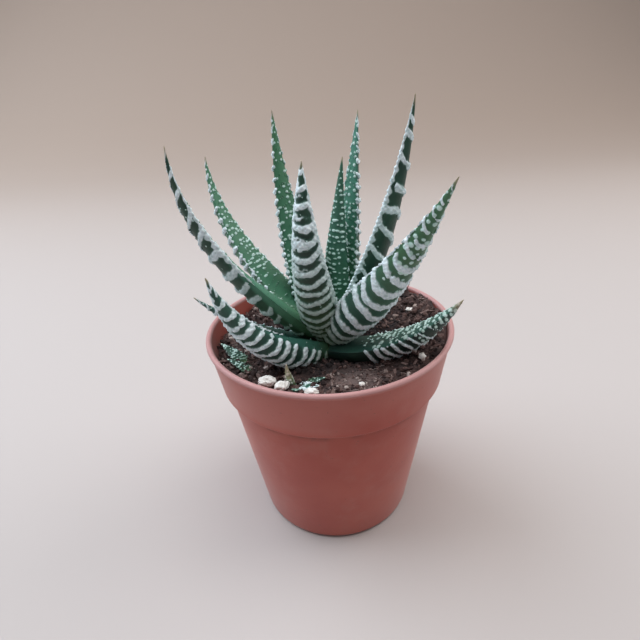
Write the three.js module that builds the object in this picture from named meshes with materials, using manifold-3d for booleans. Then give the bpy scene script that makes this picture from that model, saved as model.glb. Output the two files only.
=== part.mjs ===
// A potted haworthia: a zebra-banded rosette of tapering leaves in a thin plastic nursery pot.
// Millimetres, +Z up. The origin is the middle of the pot's underside, and -Y is the front.
import * as THREE from 'three';
import { mergeVertices } from 'three/addons/utils/BufferGeometryUtils.js';
import Module from 'manifold-3d';

const wasm = await Module();
wasm.setup();

// Driving dimensions.
const gap = 0.3;                  // air left between pieces that touch
const rimRadius = 27.5;           // outside of the rolled lip
const potHeight = 49.5;
const baseRadius = 19;
const bodyTopRadius = 24.2;       // where the tapered body meets the collar's shoulder
const collarFootRadius = 25.5;
const shoulderFoot = 37.1;        // heights of the narrow ledge under the collar
const shoulderTop = 37.8;
const lean = 0.35;                // how far the rim has sagged to one side of the base
const leanSide = 35;              // bearing of that side, in degrees
const oval = 0.6;                 // how far the rim is from round
const ovalSide = 10;
const lipRadius = 0.6;            // radius of the lip's rounded section
const wall = 0.9;
const floorThickness = 1.4;
const baseRounding = 1.6;
const drainCount = 4;
const drainRadius = 2.6;
const drainCircle = 11.5;
const soilTop = 45.6;             // at the plant
const soilEdgeDrop = 0.5;         // the soil sinks a little where it meets the wall
const soilShoulder = 2;           // how far in from the wall that drop begins
const soilBank = 1.8;             // how far the soil climbs from the plant out to the wall, on average
const soilBankSlant = 1.5;        // how much more it climbs on the high side, and less on the low side
const soilHighSide = 20;          // bearing of the high side, in degrees
const soilSteps = 5;
const stemRadius = 5;
const stemTop = 50.2;
const stemShoulder = 46.8;        // where the stem's dome begins
const stemWaist = 43.5;           // where its rooted end starts to narrow
const stemFoot = 38;
const stemFootRadius = 1.2;
const potSegments = 64;
const soilSegments = 48;
const leafSides = 12;             // facets round a leaf
const leafRings = 15;             // sections along a leaf
const ringSteps = 3;              // midrib steps between two sections
const tipHalfWidth = 0.12;

const green = new THREE.Color(0x3f6b52);
const brightGreen = new THREE.Color(0x4c7a55);
const terracotta = new THREE.Color(0x9a564c);
const peat = new THREE.Color(0x35271f);
const perliteWhite = new THREE.Color(0xe9e6de);

// One line for each leaf, innermost first. Angles are in degrees.
// heading is the way the leaf points, seen from above, and at is where its root sits round the crown,
// out mm from the axis at height z. rise goes from its first value at the root to its second at the tip,
// and curl above 1 keeps most of that turn for the upper leaf. sway turns the heading along the leaf.
// roll and twist turn the faces about the midrib. neck is the root's share of the full width, which is
// reached at belly along the leaf, and taper shapes the run from there to the tip.
const rosette = [
  { heading: 175, at: 20, out: 1.8, z: 50.5, rise: [78, 84], length: 25, width: 5, roll: 40 },
  { heading: -140, at: 40, out: 3.2, z: 50, rise: [91, 98], length: 35.5, width: 7.4 },
  { heading: -106, sway: -8, out: 2, z: 49, rise: [56, 99], length: 40.5, width: 8.4, taper: 1.4 },
  { heading: 40, at: 43, out: 4.1, z: 49, rise: [82, 81], length: 45, width: 7.4 },
  { heading: -32, out: 1.5, z: 49, rise: [58, 82], length: 51.5, width: 6.9, taper: 1.5, roll: -10 },
  { heading: 130, out: 4, z: 49, rise: [66, 88], length: 46.5, width: 7.4, taper: 1.3 },
  { heading: 152.5, out: 4, z: 50.5, rise: [38, 91], curl: 2, length: 44, width: 8.6, roll: 5 },
  { heading: 205, out: 3.5, z: 49.5, rise: [47, 91], curl: 2.5, length: 50, width: 8.4, roll: -6, twist: 14 },
  {
    heading: -48, sway: 0.5, at: -80, out: 3.7, z: 48.8, rise: [44.5, 61], length: 47.9,
    width: 8.7, belly: 0.35, roll: -60, twist: 42,
  },
  {
    heading: -18.2, at: -85, out: 5.8, z: 47.6, rise: [2, 51.5], length: 31,
    width: 9.4, neck: 0.8, taper: 1.9, roll: -8,
  },
  { heading: 215, at: 255, out: 6, z: 45.8, rise: [15, 78], length: 36, width: 7.3, roll: 72 },
  { heading: 195, at: 215, out: 5, z: 47.6, rise: [18.5, 45], length: 27.8, width: 6.2, roll: 10 },
  { heading: 75, at: 80, out: 4.5, z: 47, rise: [25, 45], length: 26, width: 7.5 },
];

// Two offsets that are just coming through the soil: one against the wall, one at the front.
const leftPup = [
  { heading: 138, at: 206, out: 20.4, z: 45.8, rise: [24, 4], length: 8.4, width: 3.8, roll: 10 },
  { heading: 152, at: 215, out: 20.6, z: 45.6, rise: [20, 8], length: 6.2, width: 3, roll: 10 },
];
const frontPup = [
  { heading: 200, at: -112.5, out: 18.8, z: 45.8, rise: [66, 82], length: 5.3, width: 2.8, taper: 1.6 },
  { heading: -14, at: -109.5, out: 20, z: 45.9, rise: [22, 0], length: 4.6, width: 2.6 },
  { heading: 2, at: -105.7, out: 18.4, z: 45.9, rise: [26, 6], length: 4.2, width: 2.2 },
  { heading: 270, at: -109.7, out: 20.5, z: 45.9, rise: [34, 25], length: 2.8, width: 1.8 },
];

// White grains lying on the soil: place, and half-size each way. A grain may be a cluster of lobes.
const grains = [
  [
    { x: -13.1, y: -18.1, size: [1.4, 1.2, 1.1], turn: 20 },
    { x: -12.2, y: -18.4, size: [1.3, 1.1, 1.2], turn: -30 },
  ],
  [{ x: -9.7, y: -19.8, size: [1.5, 1.2, 1], turn: 10 }],
  [{ x: -3.9, y: -22.3, size: [1.4, 0.9, 0.8], turn: 10 }],
  [{ x: 5.9, y: -20.5, size: [0.6, 0.5, 0.4], turn: 0 }],
  [{ x: 18.8, y: -13.9, size: [0.8, 0.7, 0.7], turn: 50 }],
  [{ x: 19.8, y: 7.2, size: [0.9, 0.5, 0.4], turn: -15 }],
];

function radians(degrees) {
  return THREE.MathUtils.degToRad(degrees);
}

// Manifold solids, and back to three.js geometry.

function toSolid(geometry) {
  const bare = geometry.clone();
  bare.deleteAttribute('normal');
  bare.deleteAttribute('uv');
  const merged = mergeVertices(bare);
  return new wasm.Manifold(new wasm.Mesh({
    numProp: 3,
    vertProperties: new Float32Array(merged.attributes.position.array),
    triVerts: new Uint32Array(merged.index.array),
  }));
}

function toGeometry(solid) {
  const mesh = solid.getMesh();
  const geometry = new THREE.BufferGeometry();
  geometry.setAttribute('position', new THREE.BufferAttribute(mesh.vertProperties, 3));
  geometry.setIndex(new THREE.BufferAttribute(mesh.triVerts, 1));
  geometry.computeVertexNormals();
  return geometry;
}

function largestBody(solid) {
  const bodies = solid.decompose();
  return bodies.reduce((best, body) => (body.volume() > best.volume() ? body : best));
}

function named(name, geometry, color, roughness) {
  const mesh = new THREE.Mesh(geometry, new THREE.MeshStandardMaterial({ color, roughness, metalness: 0 }));
  mesh.name = name;
  return mesh;
}

// Outlines turned about the upright axis. Each point is a radius and a height.

function turned(outline, segments) {
  const points = outline.map(([radius, height]) => new THREE.Vector2(radius, height));
  return new THREE.LatheGeometry(points, segments).rotateX(Math.PI / 2);
}

// The thin pot leans a little and is never quite round, more so towards the rim. Its soil follows it.
function sagged(geometry) {
  const places = geometry.attributes.position;
  for (let index = 0; index < places.count; index += 1) {
    const [x, y, z] = [places.getX(index), places.getY(index), places.getZ(index)];
    const share = z / potHeight;
    const spread = oval * share * Math.cos(2 * (Math.atan2(y, x) - radians(ovalSide))) / rimRadius;
    const shift = lean * share;
    places.setX(index, x * (1 + spread) + shift * Math.cos(radians(leanSide)));
    places.setY(index, y * (1 + spread) + shift * Math.sin(radians(leanSide)));
  }
  return geometry;
}

function arc(centreRadius, centreHeight, radius, startDegrees, endDegrees, steps) {
  return Array.from({ length: steps + 1 }, (_, step) => {
    const angle = radians(THREE.MathUtils.lerp(startDegrees, endDegrees, step / steps));
    return [centreRadius + radius * Math.cos(angle), centreHeight + radius * Math.sin(angle)];
  });
}

// The pot's inside, from the floor's edge up to just under the lip, pushed in by an amount.
function potInside(inset) {
  const floor = floorThickness + inset;
  const back = wall + inset;
  return [
    [baseRadius - back - baseRounding / 2, floor],
    [baseRadius - back, floor + baseRounding / 2],
    [bodyTopRadius - back, shoulderFoot + wall / 2],
    [collarFootRadius - back, shoulderTop + wall / 2],
  ];
}

// Radius of the collar's inner face at a height above the shoulder.
function collarInside(height) {
  const share = (height - shoulderTop) / (potHeight - shoulderTop);
  return THREE.MathUtils.lerp(collarFootRadius, rimRadius - lipRadius / 2, share) - wall;
}

function makePot() {
  const lipCentre = rimRadius - lipRadius;
  const lipHeight = potHeight - lipRadius;
  const outline = [
    [0, 0],
    ...arc(baseRadius - baseRounding, baseRounding, baseRounding, -90, 0, 4),
    [bodyTopRadius, shoulderFoot],
    [collarFootRadius, shoulderTop],
    [lipCentre + lipRadius / 2, lipHeight - lipRadius],
    ...arc(lipCentre, lipHeight, lipRadius, -40, 180, 7),
    ...potInside(0).reverse(),
    [0, floorThickness],
  ];
  const drain = new THREE.CylinderGeometry(drainRadius, drainRadius, floorThickness * 3, 20);
  drain.rotateX(Math.PI / 2);
  let solid = toSolid(sagged(turned(outline, potSegments)));
  for (let index = 0; index < drainCount; index += 1) {
    const angle = radians(45 + index * 360 / drainCount);
    const place = [drainCircle * Math.cos(angle), drainCircle * Math.sin(angle), 0];
    solid = solid.subtract(toSolid(drain).translate(place));
  }
  return solid;
}

function makeStem(grow) {
  const dome = Array.from({ length: 5 }, (_, step) => {
    const angle = radians(step * 18);
    const rise = stemTop - stemShoulder + grow;
    return [(stemRadius + grow) * Math.cos(angle), stemShoulder + rise * Math.sin(angle)];
  });
  const outline = [
    [0, stemFoot - grow],
    [stemFootRadius + grow, stemFoot - grow],
    [stemRadius * 0.8 + grow, stemWaist],
    ...dome,
    [0, stemTop + grow],
  ];
  return toSolid(turned(outline, 24));
}

// How far the soil stands above its level at the plant. It is banked up the wall, most on one side.
function soilClimb(x, y) {
  const slant = soilBankSlant * Math.cos(Math.atan2(y, x) - radians(soilHighSide));
  return (soilBank + slant) * (Math.hypot(x, y) / collarInside(soilTop)) ** 2;
}

function soilBody(lift) {
  const edge = soilTop - soilEdgeDrop;
  const reach = collarInside(edge) - gap;
  const surface = Array.from({ length: soilSteps }, (_, step) => (
    [(reach - soilShoulder) * (1 - step / soilSteps), soilTop + lift]
  ));
  const outline = [
    [0, floorThickness + gap],
    ...potInside(gap),
    [reach, edge + lift],
    ...surface,
    [0, soilTop + lift],
  ];
  const body = turned(outline, soilSegments);
  const places = body.attributes.position;
  for (let index = 0; index < places.count; index += 1) {
    const [x, y, z] = [places.getX(index), places.getY(index), places.getZ(index)];
    places.setZ(index, z < edge ? z : z + soilClimb(x, y));
  }
  return toSolid(sagged(body));
}

function pointing(climb, bearing) {
  return new THREE.Vector3(
    Math.cos(climb) * Math.cos(bearing), Math.cos(climb) * Math.sin(bearing), Math.sin(climb),
  );
}

// Leaves. A leaf is a sphere's grid laid along a bent midrib, its poles closing the root and the tip.

function midrib(leaf) {
  const { heading, at = heading, out, z, rise, curl = 1, sway = 0, length, roll = 0, twist = 0 } = leaf;
  const steps = (leafRings - 1) * ringSteps;
  const root = radians(at);
  const point = new THREE.Vector3(out * Math.cos(root), out * Math.sin(root), z);
  const direction = (share) => {
    const climb = radians(rise[0] + (rise[1] - rise[0]) * share ** curl);
    const bearing = radians(heading + sway * share);
    return { climb, bearing };
  };
  const rings = [];
  for (let step = 0; step <= steps; step += 1) {
    const share = step / steps;
    if (step % ringSteps === 0) {
      const { climb, bearing } = direction(share);
      const along = pointing(climb, bearing);
      const inner = pointing(climb + Math.PI / 2, bearing);
      inner.applyAxisAngle(along, radians(roll + twist * share));
      rings.push({ share, along, inner, side: along.clone().cross(inner), point: point.clone() });
    }
    const { climb, bearing } = direction((step + 0.5) / steps);
    point.addScaledVector(pointing(climb, bearing), length / steps);
  }
  return rings;
}

function halfWidth(leaf, share) {
  const { width, belly = 0.22, neck = 0.75, taper = 1.2 } = leaf;
  const swell = neck + (1 - neck) * Math.sin(Math.PI / 2 * Math.min(share / belly, 1));
  const narrow = 1 - Math.max((share - belly) / (1 - belly), 0) ** taper;
  return width / 2 * swell * narrow + tipHalfWidth;
}

// The leaf's outer face is a deep keel, and its inner face a shallow swell that grows towards the tip.
function sectionPoint(leaf, ring, angle, grow) {
  const half = halfWidth(leaf, ring.share);
  const depth = half * (0.9 + 0.05 * ring.share ** 2) + grow;
  const swell = half * (0.12 + 0.25 * ring.share ** 1.5) + grow;
  const up = Math.sin(angle);
  const across = Math.cos(angle) * (half + grow);
  const lift = up > 0 ? up * swell : -(Math.abs(up) ** 1.15) * depth;
  return ring.point.clone().addScaledVector(ring.side, across).addScaledVector(ring.inner, lift);
}

function leafSolid(leaf, grow) {
  const rings = midrib(leaf);
  rings[0].point.addScaledVector(rings[0].along, -grow);
  rings.at(-1).point.addScaledVector(rings.at(-1).along, grow);
  const grid = new THREE.SphereGeometry(1, leafSides, leafRings + 1);
  const places = grid.attributes.position;
  for (let index = 0; index < places.count; index += 1) {
    const row = Math.floor(index / (leafSides + 1));
    const column = index % (leafSides + 1) % leafSides;
    const ring = rings[THREE.MathUtils.clamp(row - 1, 0, leafRings - 1)];
    const isEnd = row === 0 || row > leafRings;
    const angle = 2 * Math.PI * column / leafSides;
    const place = isEnd ? ring.point : sectionPoint(leaf, ring, angle, grow);
    places.setXYZ(index, place.x, place.y, place.z);
  }
  return toSolid(grid);
}

// Cuts each leaf back to stand a gap clear of what lies inside it: the soil, the stem and earlier leaves.
function makeLeaves(leaves, obstacles) {
  return leaves.map((leaf) => {
    let solid = leafSolid(leaf, 0);
    for (const obstacle of obstacles) {
      solid = solid.subtract(obstacle);
    }
    obstacles.push(leafSolid(leaf, gap));
    return largestBody(solid);
  });
}

function makeGrain(lobes) {
  const ball = new THREE.IcosahedronGeometry(1, 1);
  const solids = lobes.map(({ x, y, size, turn }) => (
    toSolid(ball).scale(size).rotate([0, 0, turn])
      .translate([x, y, soilTop + soilClimb(x, y) + gap + size[2]])
  ));
  return solids.reduce((whole, lobe) => whole.add(lobe));
}

function numbered(prefix, index) {
  return `${prefix}_${String(index + 1).padStart(2, '0')}`;
}

const holder = new THREE.Group();
holder.add(named('pot', toGeometry(makePot()), terracotta, 0.45));
holder.add(named('soil', toGeometry(soilBody(0).subtract(makeStem(gap))), peat, 0.95));

const obstacles = [soilBody(gap), makeStem(gap)];
const plant = new THREE.Group();
plant.add(named('stem', toGeometry(makeStem(0)), green, 0.6));
makeLeaves(rosette, obstacles).forEach((solid, index) => {
  plant.add(named(numbered('leaf', index), toGeometry(solid), green, 0.5));
});
makeLeaves(leftPup, obstacles).forEach((solid, index) => {
  plant.add(named(numbered('pup_left_leaf', index), toGeometry(solid), brightGreen, 0.5));
});
makeLeaves(frontPup, obstacles).forEach((solid, index) => {
  plant.add(named(numbered('pup_front_leaf', index), toGeometry(solid), brightGreen, 0.5));
});

const dressing = new THREE.Group();
grains.forEach((lobes, index) => {
  dressing.add(named(numbered('perlite', index), toGeometry(makeGrain(lobes)), perliteWhite, 0.9));
});

const haworthia = new THREE.Group();
haworthia.add(holder, plant, dressing);

export default haworthia;
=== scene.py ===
import bpy
import bmesh
import math
import random
import numpy as np
from mathutils import Matrix, Vector, noise


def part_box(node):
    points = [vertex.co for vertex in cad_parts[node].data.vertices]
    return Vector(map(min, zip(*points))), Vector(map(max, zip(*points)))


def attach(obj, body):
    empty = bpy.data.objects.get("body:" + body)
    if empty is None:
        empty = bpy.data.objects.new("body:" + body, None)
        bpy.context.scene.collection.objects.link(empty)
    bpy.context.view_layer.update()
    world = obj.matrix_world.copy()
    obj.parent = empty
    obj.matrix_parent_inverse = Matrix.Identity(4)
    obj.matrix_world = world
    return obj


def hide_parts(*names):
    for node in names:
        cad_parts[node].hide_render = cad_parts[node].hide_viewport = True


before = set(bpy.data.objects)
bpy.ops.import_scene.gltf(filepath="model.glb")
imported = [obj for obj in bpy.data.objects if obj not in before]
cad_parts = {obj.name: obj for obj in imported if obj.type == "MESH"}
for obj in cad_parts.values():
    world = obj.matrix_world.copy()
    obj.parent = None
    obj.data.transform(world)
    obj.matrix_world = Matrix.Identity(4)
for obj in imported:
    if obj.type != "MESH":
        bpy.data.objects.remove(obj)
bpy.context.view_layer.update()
mm = 0.001

# camera, light and room

view = {
    "place": (0, -95.9, 103.2),         # mm, from the middle of the pot's underside
    "tiltDown": 28.78, "pan": -1.09, "roll": -3.55,
    "lens": 27, "sensor": 36,
}
room = {
    "floorColour": (0.515, 0.475, 0.465, 1), "wallColour": (0.40, 0.322, 0.275, 1),
    "front": -1.6, "bendStart": 0.38, "bendRadius": 0.35, "bendSteps": 12, "wallTop": 1.6, "halfWidth": 2.2,
    "skyBehind": (0.82, 0.90, 1.0, 1), "skyFront": (0.26, 0.25, 0.25, 1), "skyStrength": 0.71,
}
lampAim = (0, 0, 0.05)
lamps = [                               # name, place and size in metres, power in watts, colour
    ("windowLamp", (-0.46, 0.20, 0.52), 0.70, 4.9, (0.84, 0.92, 1.0)),
    ("rightLamp", (0.50, 0.16, 0.40), 0.45, 1.5, (1.0, 0.96, 0.92)),
    ("ceilingLamp", (0.05, -0.05, 0.75), 0.60, 3.1, (1.0, 0.98, 0.95)),
]

lens = bpy.data.cameras.new("camera")
lens.lens = view["lens"]
lens.sensor_width = view["sensor"]
lens.clip_start = 0.005
camera = bpy.data.objects.new("camera", lens)
camera.matrix_world = (
    Matrix.Translation(Vector(view["place"]) * mm)
    @ Matrix.Rotation(math.radians(-view["pan"]), 4, "Z")
    @ Matrix.Rotation(math.radians(90 - view["tiltDown"]), 4, "X")
    @ Matrix.Rotation(math.radians(view["roll"]), 4, "Z")
)
bpy.context.scene.collection.objects.link(camera)
bpy.context.scene.camera = camera
bpy.context.scene.view_settings.view_transform = "Standard"


class Wire:                             # a shader value that can be used in a Python expression
    def __init__(self, maker, socket):
        self.maker, self.socket = maker, socket

    def calc(self, operation, first, second):
        return self.maker.add("ShaderNodeMath", {0: first, 1: second}, operation=operation)

    def __add__(self, other): return self.calc("ADD", self, other)
    def __radd__(self, other): return self.calc("ADD", other, self)
    def __sub__(self, other): return self.calc("SUBTRACT", self, other)
    def __rsub__(self, other): return self.calc("SUBTRACT", other, self)
    def __mul__(self, other): return self.calc("MULTIPLY", self, other)
    def __rmul__(self, other): return self.calc("MULTIPLY", other, self)


class NodeMaker:                        # adds nodes to one material or world
    def __init__(self, owner):
        owner.use_nodes = True
        self.owner, self.tree = owner, owner.node_tree
        self.tree.nodes.clear()

    def add(self, kind, sockets=None, output=0, stops=None, **settings):
        node = self.tree.nodes.new(kind)
        for key, value in settings.items():
            setattr(node, key, value)
        if stops:
            ramp = node.color_ramp.elements
            for index, (place, colour) in enumerate(stops):
                stop = ramp[index] if index < 2 else ramp.new(place)
                stop.position, stop.color = place, colour
        for key, value in (sockets or {}).items():
            if isinstance(value, Wire):
                self.tree.links.new(value.socket, node.inputs[key])
            else:
                node.inputs[key].default_value = value
        return Wire(self, node.outputs[output]) if node.outputs else None

    def mix(self, share, first, second):
        return self.add("ShaderNodeMix", {0: share, 6: first, 7: second}, output=2, data_type="RGBA")

    def between(self, value, low, high):     # 0 at low and 1 at high, with soft ends
        return self.add("ShaderNodeMapRange", {"Value": value, "From Min": low, "From Max": high},
                        interpolation_type="SMOOTHSTEP")

    def attribute(self, name):
        return self.add("ShaderNodeAttribute", output=2, attribute_name=name)

    def place(self):
        return self.add("ShaderNodeTexCoord", output=3)

    def noise(self, place, scale, detail=3, roughness=0.5):
        return self.add("ShaderNodeTexNoise",
                        {"Vector": place, "Scale": scale, "Detail": detail, "Roughness": roughness})

    def bump(self, height, strength, distance):
        return self.add("ShaderNodeBump", {"Height": height, "Strength": strength, "Distance": distance})

    def surface(self, colour, roughness, normal=None, **constants):
        sockets = {"Base Color": colour, "Roughness": roughness}
        if normal:
            sockets["Normal"] = normal
        sockets.update(constants)
        shader = self.add("ShaderNodeBsdfPrincipled", sockets)
        self.add("ShaderNodeOutputMaterial", {"Surface": shader})
        return self.owner


def newFinish(name):
    return NodeMaker(bpy.data.materials.new(name))


def addPiece(name, mesh, material, slot, *nodes):
    piece = bpy.data.objects.new(name, mesh)
    bpy.context.scene.collection.objects.link(piece)
    mesh.materials.append(material)
    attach(piece, "root")
    if nodes:
        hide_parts(*nodes)


def toMesh(bm, name, smooth=True):
    mesh = bpy.data.meshes.new(name)
    for face in bm.faces:
        face.smooth = smooth
    bm.to_mesh(mesh)
    bm.free()
    return mesh


def setField(mesh, name, values):
    field = mesh.attributes.new(name, "FLOAT", "POINT")
    field.data.foreach_set("value", np.asarray(values, np.float32))


def readPlaces(mesh):
    places = np.empty(len(mesh.vertices) * 3)
    mesh.vertices.foreach_get("co", places)
    return places.reshape(-1, 3)


def makeRoom():
    sky = NodeMaker(bpy.data.worlds.new("sky"))
    direction = sky.add("ShaderNodeTexCoord", output=0)
    depth = sky.add("ShaderNodeSeparateXYZ", {"Vector": direction}, output=1)
    behind = sky.between(depth, -0.5, 0.45)
    colour = sky.mix(behind, room["skyFront"], room["skyBehind"])
    light = sky.add("ShaderNodeBackground", {"Color": colour, "Strength": room["skyStrength"]})
    sky.add("ShaderNodeOutputWorld", {"Surface": light})
    bpy.context.scene.world = sky.owner

    bm = bmesh.new()
    bend, radius = room["bendStart"], room["bendRadius"]
    outline = [(room["front"], 0)]
    for step in range(room["bendSteps"] + 1):
        angle = math.radians(90 * step / room["bendSteps"])
        outline.append((bend + radius * math.sin(angle), radius * (1 - math.cos(angle))))
    outline.append((bend + radius, room["wallTop"]))
    corners = [bm.verts.new((-room["halfWidth"], y, z)) for y, z in outline]
    edges = [bm.edges.new(pair) for pair in zip(corners, corners[1:])]
    swept = bmesh.ops.extrude_edge_only(bm, edges=edges)["geom"]
    across = [part for part in swept if isinstance(part, bmesh.types.BMVert)]
    bmesh.ops.translate(bm, verts=across, vec=(2 * room["halfWidth"], 0, 0))
    bmesh.ops.recalc_face_normals(bm, faces=bm.faces)
    mesh = toMesh(bm, "floor")
    paper = newFinish("paleFloor")
    height = paper.add("ShaderNodeSeparateXYZ", {"Vector": paper.place()}, output=1)
    colour = paper.mix(paper.between(height, 0.02, 0.55), room["floorColour"], room["wallColour"])
    mesh.materials.append(paper.surface(colour, 0.9))
    floor = bpy.data.objects.new("floor", mesh)
    bpy.context.scene.collection.objects.link(floor)

    for name, place, size, power, colour in lamps:
        light = bpy.data.lights.new(name, "AREA")
        light.size, light.energy, light.color = size, power, colour
        lamp = bpy.data.objects.new(name, light)
        aim = Vector(lampAim) - Vector(place)
        lamp.matrix_world = Matrix.Translation(place) @ aim.to_track_quat("-Z", "Y").to_matrix().to_4x4()
        bpy.context.scene.collection.objects.link(lamp)


makeRoom()
print("room ready")

# leaves

# Angles are in degrees and lengths in mm. The shape of a leaf: heading is the way it points seen from above;
# at, out and z place its root; rise runs from root to tip with curl holding it back; roll and twist turn it
# about its midrib; neck, belly and taper shape its width.
# Its markings, where a list of values is spread evenly from root to tip, and left and right are as seen from
# outside: firstBand is where the white bands start and pitch is their spacing, bandShare the part of it that
# is white, ragged how broken the bands are, wander how far they stray, parting how open they are over the
# keel, stagger how far one half is shifted, lean and bow how they tilt and bend, fade how far up the leaf they
# stay greenish, bare how much of the right half stays as smooth as the inner face. dots and outerDots are how
# full of white dots the two faces are, dotSize their radius, dotGap their spacing in dot sizes, dash how wide
# they spread. edge is the width of a white line on the left and right margin, teeth the size of the margin's
# own tubercles, toothGap apart, and marginGrow scales both from root to tip, left then right.
# outerTone and innerTone are how bright the green is, and on some leaves they also carry painted shade or
# light; warmth how yellow; tipStart is where the dry tip begins.
leafDefaults = {
    "curl": 1, "sway": 0, "roll": 0, "twist": 0, "neck": 0.75, "belly": 0.22, "taper": 1.2,
    "firstBand": 1.2, "pitch": (2.0, 2.4, 2.4), "bandShare": (0.48, 0.42), "ragged": (0.1, 0.5),
    "wander": (0.1,), "parting": (0,), "stagger": (0,), "lean": (0,), "bow": (0.6,), "bare": (0,), "fade": 5,
    "dots": (0, 0, 0.4, 0.8, 0.6, 0.4), "outerDots": (0.06,), "dotSize": 0.2, "dotGap": 5,
    "dash": (1, 0.3), "edge": (0.05, 0.05), "teeth": (0.3, 0.3), "toothGap": 2.3,
    "marginGrow": ((1,), (1,)), "tipStart": 0.95,
    "outerTone": (0.25,), "innerTone": (0.5,), "warmth": (0.5, 0.2),
}
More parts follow.
